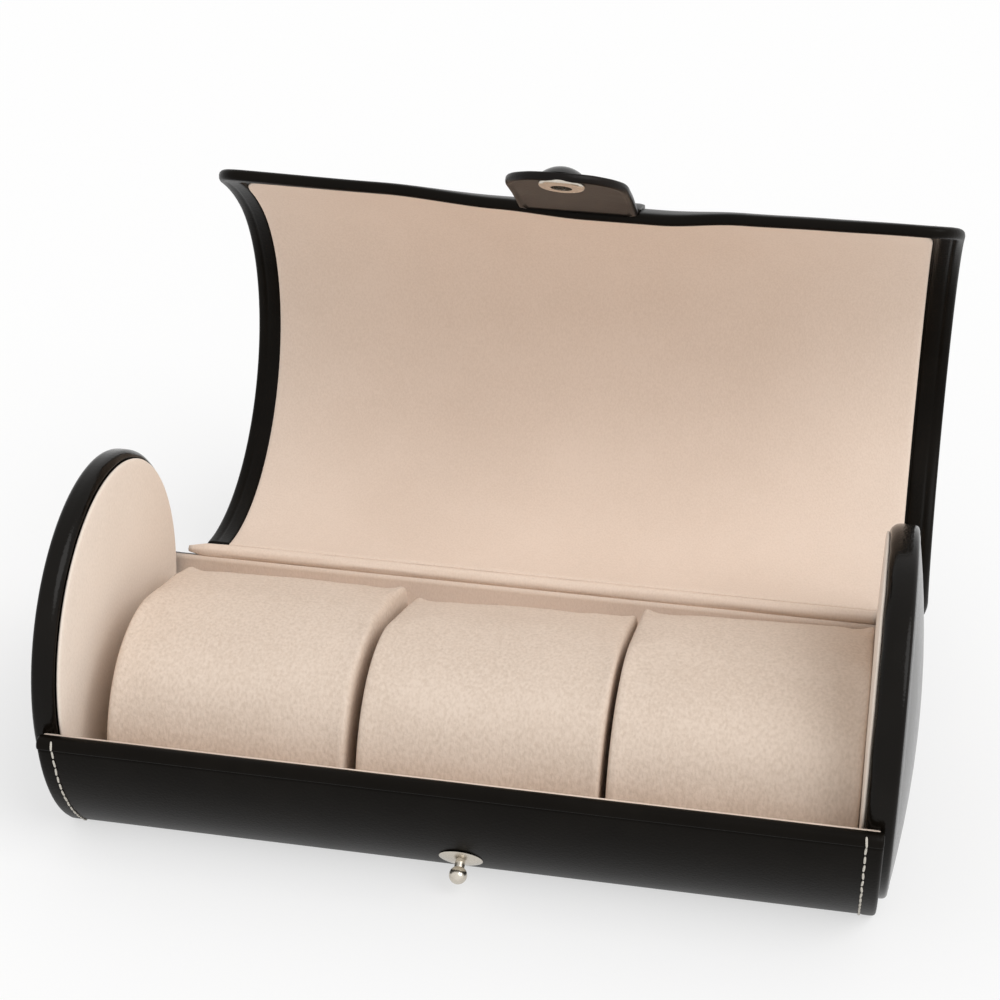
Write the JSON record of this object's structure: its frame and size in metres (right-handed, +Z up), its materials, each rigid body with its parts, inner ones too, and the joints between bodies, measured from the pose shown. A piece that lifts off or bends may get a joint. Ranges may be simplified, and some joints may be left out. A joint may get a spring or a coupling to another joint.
{
  "type": "watch box",
  "caption": "Cylindrical travel watch box: leather-covered trough with padded end discs, curved lid on a soft hinge, press-stud closing tab and loose suede watch pillows.",
  "frame": {"origin": "middle of the flat underside, on the surface the box stands on, below the cylinder's axis", "axes": "+X along the box towards its right end, seen from the front; -Y towards the front, where the stud is; +Z up"},
  "size_m": [0.2242, 0.17, 0.1613],
  "materials": {
    "base_leather": "smooth black leather, satin",
    "lid_leather": "smooth black leather, satin",
    "card": "grey-brown stiff board",
    "suede": "beige suede cloth, short nap",
    "foam": "soft foam filling",
    "nickel": "bright nickel plate"
  },
  "bodies": {
    "base": {"base_cover": "base_leather", "base_board": "card", "base_lining": "suede", "front_binding": "base_leather", "end_cover_left": "base_leather", "end_padding_left": "foam", "end_board_left": "card", "end_lining_left": "suede", "end_cover_right": "base_leather", "end_padding_right": "foam", "end_board_right": "card", "end_lining_right": "suede", "snap_stud": "nickel", "stud_rivet": "nickel"},
    "hinge": {"hinge_leather": "base_leather", "hinge_lining": "suede"},
    "lid": {"lid_cover": "lid_leather", "lid_board": "card", "lid_lining": "suede", "lid_border": "lid_leather", "tab_anchor": "lid_leather"},
    "tab": {"tab_outer": "lid_leather", "tab_lining": "lid_leather", "snap_cap": "nickel", "snap_socket": "nickel", "snap_spring": "nickel"},
    "pillow_left": {"pillow_cover_left": "suede", "pillow_foam_left": "foam"},
    "pillow_middle": {"pillow_cover_middle": "suede", "pillow_foam_middle": "foam"},
    "pillow_right": {"pillow_cover_right": "suede", "pillow_foam_right": "foam"}
  },
  "joints": [
    {"name": "hinge_side_play", "type": "slide", "parent": "base", "child": "hinge", "axis": [1, 0, 0], "range_m": [-0.0095, 0]},
    {"name": "lid_hinge", "type": "hinge", "parent": "hinge", "child": "lid", "pos_m": [0, 0.0497, 0.03201], "axis": [-1, 0, 0], "range_deg": [-98.7, 0]},
    {"name": "tab_bend", "type": "hinge", "parent": "lid", "child": "tab", "pos_m": [0, 0.07148, 0.13781], "axis": [-1, 0, 0], "range_deg": [-47, 25]},
    {"name": "pillow_left_lift", "type": "slide", "parent": "base", "child": "pillow_left", "axis": [0, 0, 1], "range_m": [0, 0.1]},
    {"name": "pillow_middle_lift", "type": "slide", "parent": "base", "child": "pillow_middle", "axis": [0, 0, 1], "range_m": [0, 0.1]},
    {"name": "pillow_right_lift", "type": "slide", "parent": "base", "child": "pillow_right", "axis": [0, 0, 1], "range_m": [0, 0.1]}
  ],
  "couplings": [
    {"joint": "hinge_side_play", "follows": "lid_hinge", "m_per_rad": 0.0054567}
  ]
}
